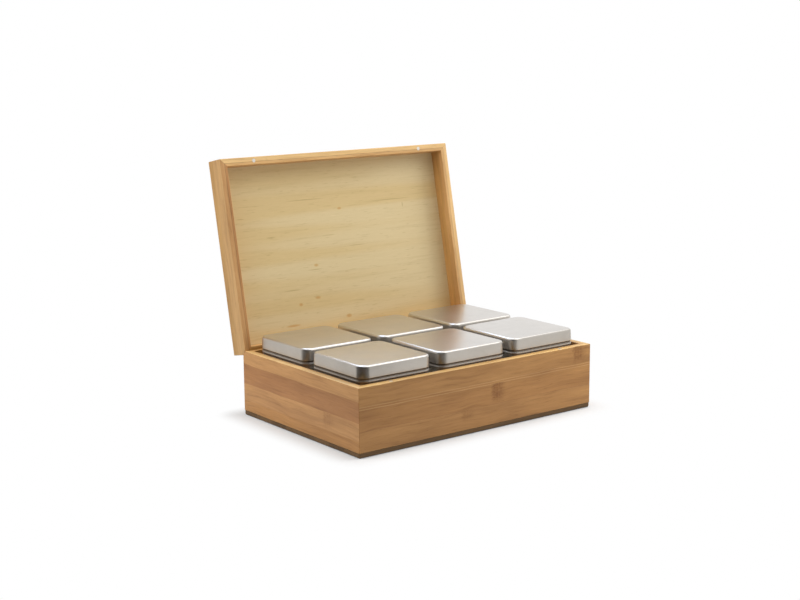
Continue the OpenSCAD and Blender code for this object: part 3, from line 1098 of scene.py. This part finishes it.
# %% [markdown]
# ## The studio
#
# The photograph has a pure white background with a soft shadow at the foot of the box. The floor shows
# white to the camera and in reflections, and stays an ordinary pale floor for the light it throws back.
# Near the box the floor keeps part of its shading, so that the shadow shows. The world does the same:
# white where it is seen, and a plain level where it lights.

# %% Floor
FLOOR_HALF = 4.0
FLOOR_DROP = 0.2 * MM

floor_mesh = bmesh.new()
bmesh.ops.create_grid(floor_mesh, x_segments=1, y_segments=1, size=FLOOR_HALF)
bmesh.ops.translate(floor_mesh, vec=(0, 0, -FLOOR_DROP), verts=floor_mesh.verts)
floor = object_of("studio_floor", floor_mesh)
print("floor", 2 * FLOOR_HALF, "m wide")

# %% White paper that keeps its shading near the box
FLOOR_TONE = (0.79, 0.79, 0.79, 1.0)
SHADOW_SHARE = 0.75
SHADOW_REACH = 0.031


def seen_directly(tree):
    """1 for rays that show the background itself: from the camera, in a reflection or through glass."""
    rays = add_node(tree, "LightPath", {})
    kinds = [rays[kind] for kind in ("Is Camera Ray", "Is Glossy Ray", "Is Transmission Ray")]
    return combined(tree, "MAXIMUM", kinds)


paper = bpy.data.materials.new("studio_paper")
paper.use_nodes = True
tree = paper.node_tree
tree.nodes.clear()
to_centre = add_node(tree, "VectorMath", {0: object_place(tree)}, operation="ABSOLUTE")[0]
edges_of_box = {0: to_centre, 1: (HALF_LENGTH, HALF_DEPTH, 0)}
past_box = add_node(tree, "VectorMath", edges_of_box, operation="SUBTRACT")[0]
outside = add_node(tree, "VectorMath", {0: past_box, 1: (0, 0, 0)}, operation="MAXIMUM")[0]
away = add_node(tree, "VectorMath", {0: outside}, operation="LENGTH")["Value"]
far = spread(tree, away, 0.0, SHADOW_REACH, 1.0 - SHADOW_SHARE, 1.0)
whiteness = calc(tree, "MULTIPLY", far, seen_directly(tree))
diffuse = add_node(tree, "BsdfDiffuse", {"Color": FLOOR_TONE})[0]
white = add_node(tree, "Emission", {"Color": (1, 1, 1, 1), "Strength": 1.0})[0]
surface = add_node(tree, "MixShader", {0: whiteness, 1: diffuse, 2: white})[0]
feed(tree, tree.nodes.new("ShaderNodeOutputMaterial").inputs["Surface"], surface)
floor.data.materials.append(paper)
print("the floor's shading ends", SHADOW_REACH, "m from the box")

# %% World
WORLD_LEVEL = 0.26

world = bpy.data.worlds.new("studio_world")
bpy.context.scene.world = world
world.use_nodes = True
tree = world.node_tree
level = spread(tree, seen_directly(tree), 0.0, 1.0, WORLD_LEVEL, 1.0)
background = next(node for node in tree.nodes if node.type == "BACKGROUND")
background.inputs["Color"].default_value = (1, 1, 1, 1)
feed(tree, background.inputs["Strength"], level)
print("world level", WORLD_LEVEL)

# %% [markdown]
# ## Lamps
#
# Four softboxes of about a metre light the box: one overhead, the key softbox above and to the right,
# one further out on the right, and one on the left. Being large, they throw soft shadows, such as
# those of the lid's rails on the panel. The tins mirror only two lamps: the key softbox, which makes
# the bright line along their front edges, and a small cool one at the back, which lights nothing else.
# In front of the box stands a card that only reflections see, dark in its middle and grey towards its
# ends, as a photographer puts one there to give round metal corners their dark core.

# %% Lamps
AIM = (0.0, 0.0, 0.08)
LAMPS = {
    "overhead_softbox": {"place": (0.05, -0.15, 1.25), "side": 1.0, "watts": 3.3},
    "key_softbox": {"place": (0.60, -0.25, 1.00), "side": 1.2, "watts": 5.8},
    "right_softbox": {"place": (1.15, -0.28, 0.62), "side": 1.1, "watts": 12.0},
    "left_softbox": {"place": (-0.90, 0.12, 0.80), "side": 1.2, "watts": 9.4},
    "back_softbox": {"place": (0.04, 0.42, 0.75), "side": 0.45, "watts": 2.5},
}
COOL_WHITE = (0.76, 1.00, 1.40)
SEEN_IN_METAL = ("key_softbox", "back_softbox")
ONLY_IN_METAL = ("back_softbox",)
for name, lamp in LAMPS.items():
    data = bpy.data.lights.new(name, "AREA")
    data.shape = "SQUARE"
    data.size = lamp["side"]
    data.energy = lamp["watts"]
    softbox = bpy.data.objects.new(name, data)
    bpy.context.scene.collection.objects.link(softbox)
    softbox.location = lamp["place"]
    softbox.visible_glossy = name in SEEN_IN_METAL
    if name in ONLY_IN_METAL:
        softbox.visible_diffuse = False
        data.color = COOL_WHITE
    softbox.rotation_euler = (Vector(AIM) - Vector(lamp["place"])).to_track_quat("-Z", "Y").to_euler()
print("lamps:", ", ".join(LAMPS))

# %% The dark card
CARD_RADIUS = 0.30
CARD_HEIGHT = 0.34
CARD_AZIMUTH = math.radians(-50)
CARD_HALF_ANGLE = math.radians(130)
CARD_STEPS = 36

card_mesh = bmesh.new()
start = Matrix.Rotation(CARD_AZIMUTH - CARD_HALF_ANGLE, 3, "Z") @ Vector((0, -CARD_RADIUS, 0))
foot = card_mesh.verts.new(start)
top = card_mesh.verts.new(start + Vector((0, 0, CARD_HEIGHT)))
bmesh.ops.spin(
    card_mesh, geom=[card_mesh.edges.new((foot, top))], cent=(0, 0, 0), axis=(0, 0, 1),
    angle=2 * CARD_HALF_ANGLE, steps=CARD_STEPS,
)
card = object_of("dark_card", card_mesh)
print("card", CARD_HEIGHT, "m high,", CARD_RADIUS, "m from the middle of the box")

# %% What the card shows
# It is dark up to the core angle from its middle, fades, and is grey from the faded angle onwards
CARD_CORE = math.radians(36)
CARD_FADED = math.radians(60)
CARD_DARK = 0.02
CARD_GREY = 0.73
CARD_TINT = (1.0, 0.98, 0.94, 1.0)

card_finish = bpy.data.materials.new("dark_card")
card_finish.use_nodes = True
tree = card_finish.node_tree
tree.nodes.clear()
card_place = object_place(tree)
card_middle = Matrix.Rotation(CARD_AZIMUTH, 3, "Z") @ Vector((0, -1 / CARD_RADIUS, 0))
facing = {0: card_place, 1: card_middle}
nearness = add_node(tree, "VectorMath", facing, operation="DOT_PRODUCT")["Value"]
card_level = spread(tree, nearness, math.cos(CARD_FADED), math.cos(CARD_CORE), CARD_GREY, CARD_DARK)
card_glow = add_node(tree, "Emission", {"Color": CARD_TINT, "Strength": card_level})[0]
feed(tree, tree.nodes.new("ShaderNodeOutputMaterial").inputs["Surface"], card_glow)
card.data.materials.append(card_finish)
card.visible_camera = False
card.visible_diffuse = False
card.visible_shadow = False
card.visible_transmission = False
print("card from level", CARD_DARK, "to", CARD_GREY)
